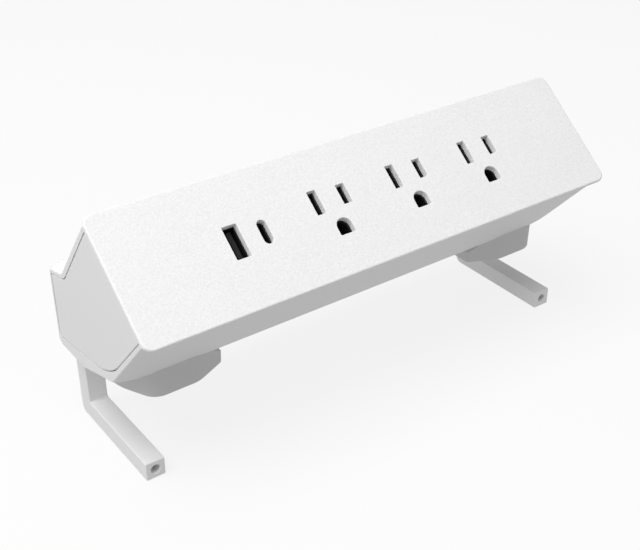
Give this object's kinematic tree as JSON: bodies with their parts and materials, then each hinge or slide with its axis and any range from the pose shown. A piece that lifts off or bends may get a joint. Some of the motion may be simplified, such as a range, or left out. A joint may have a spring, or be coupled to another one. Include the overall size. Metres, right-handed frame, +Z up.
{
  "type": "desk power strip",
  "caption": "Desk-edge power strip with a sloping face plate holding power outlets and USB ports, wedge feet, and L-shaped square-bar arms that clamp a desk top from below.",
  "frame": {"origin": "centre of the footprint, on the surface that the undersides of the clamp arms stand on, mid-length of the strip", "axes": "+X along the strip to the right as seen by the user, +Y from the user to the back, +Z up"},
  "size_m": [0.2188, 0.0814, 0.1044],
  "materials": {
    "face_finish": "matte white powder coat with a very fine grain",
    "moulded_plastic": "fine matte moulded texture",
    "cap_plastic": "fine matte moulded texture",
    "coated_metal": "matte white powder coat over square bar",
    "soft_rubber": "soft matte",
    "black_plastic": "matte black",
    "zinc_steel": "zinc plated",
    "contact_brass": "plain",
    "board": "solder-mask green",
    "board_parts": "mixed small parts",
    "black_lead": "insulated wire",
    "white_lead": "insulated wire",
    "green_lead": "insulated wire"
  },
  "bodies": {
    "housing": {"housing_shell": "moulded_plastic", "bottom_cover": "moulded_plastic", "face_plate": "face_finish", "end_cap_left": "cap_plastic", "end_cap_right": "cap_plastic", "clamp_foot_left": "moulded_plastic", "clamp_foot_right": "moulded_plastic", "foot_pad_left": "soft_rubber", "foot_pad_right": "soft_rubber", "arm_guide_left": "moulded_plastic", "arm_guide_right": "moulded_plastic", "outlet_face_1": "black_plastic", "outlet_face_2": "black_plastic", "outlet_face_3": "black_plastic", "outlet_body_1": "black_plastic", "outlet_body_2": "black_plastic", "outlet_body_3": "black_plastic", "shutter_spring_1": "zinc_steel", "shutter_spring_2": "zinc_steel", "shutter_spring_3": "zinc_steel", "line_bus": "contact_brass", "neutral_bus": "contact_brass", "ground_bus": "contact_brass", "bus_cover": "moulded_plastic", "usb_a_port": "black_plastic", "usb_c_port": "black_plastic", "usb_board": "board", "usb_parts": "board_parts", "terminal_block": "moulded_plastic", "terminal_screws": "zinc_steel", "cord_gland": "black_plastic", "gland_nut": "moulded_plastic", "line_lead": "black_lead", "neutral_lead": "white_lead", "ground_lead": "green_lead", "usb_leads": "black_lead", "bus_cover_screws": "zinc_steel", "board_screws": "zinc_steel", "bottom_cover_screws": "zinc_steel", "foot_screws": "zinc_steel", "guide_screws": "zinc_steel"},
    "clamp_arm_left": {"arm_left": "coated_metal"},
    "screw_left": {"clamp_screw_left": "zinc_steel"},
    "clamp_arm_right": {"arm_right": "coated_metal"},
    "screw_right": {"clamp_screw_right": "zinc_steel"},
    "shutter_1": {"shutter_1": "black_plastic"},
    "shutter_2": {"shutter_2": "black_plastic"},
    "shutter_3": {"shutter_3": "black_plastic"}
  },
  "joints": [
    {"name": "arm_slide_left", "type": "slide", "parent": "housing", "child": "clamp_arm_left", "axis": [0, 0, 1], "range_m": [-0.01, 0.008]},
    {"name": "screw_turn_left", "type": "hinge", "parent": "housing", "child": "screw_left", "pos_m": [-0.1008, 0.03007, 0.0611], "axis": [0, 0, 1], "range_deg": [-4120, 5150]},
    {"name": "arm_slide_right", "type": "slide", "parent": "housing", "child": "clamp_arm_right", "axis": [0, 0, 1], "range_m": [-0.01, 0.008]},
    {"name": "screw_turn_right", "type": "hinge", "parent": "housing", "child": "screw_right", "pos_m": [0.1008, 0.03007, 0.0611], "axis": [0, 0, 1], "range_deg": [-4120, 5150]},
    {"name": "shutter_slide_1", "type": "slide", "parent": "housing", "child": "shutter_1", "axis": [1, 0, 0], "range_m": [0, 0.0028], "stiffness_N_per_m": 120, "springref_m": -0.003, "deforming": ["shutter_spring_1"]},
    {"name": "shutter_slide_2", "type": "slide", "parent": "housing", "child": "shutter_2", "axis": [1, 0, 0], "range_m": [0, 0.0028], "stiffness_N_per_m": 120, "springref_m": -0.003, "deforming": ["shutter_spring_2"]},
    {"name": "shutter_slide_3", "type": "slide", "parent": "housing", "child": "shutter_3", "axis": [1, 0, 0], "range_m": [0, 0.0028], "stiffness_N_per_m": 120, "springref_m": -0.003, "deforming": ["shutter_spring_3"]}
  ],
  "couplings": [
    {"joint": "screw_turn_left", "follows": "arm_slide_left", "rad_per_m": -8976},
    {"joint": "screw_turn_right", "follows": "arm_slide_right", "rad_per_m": -8976}
  ]
}
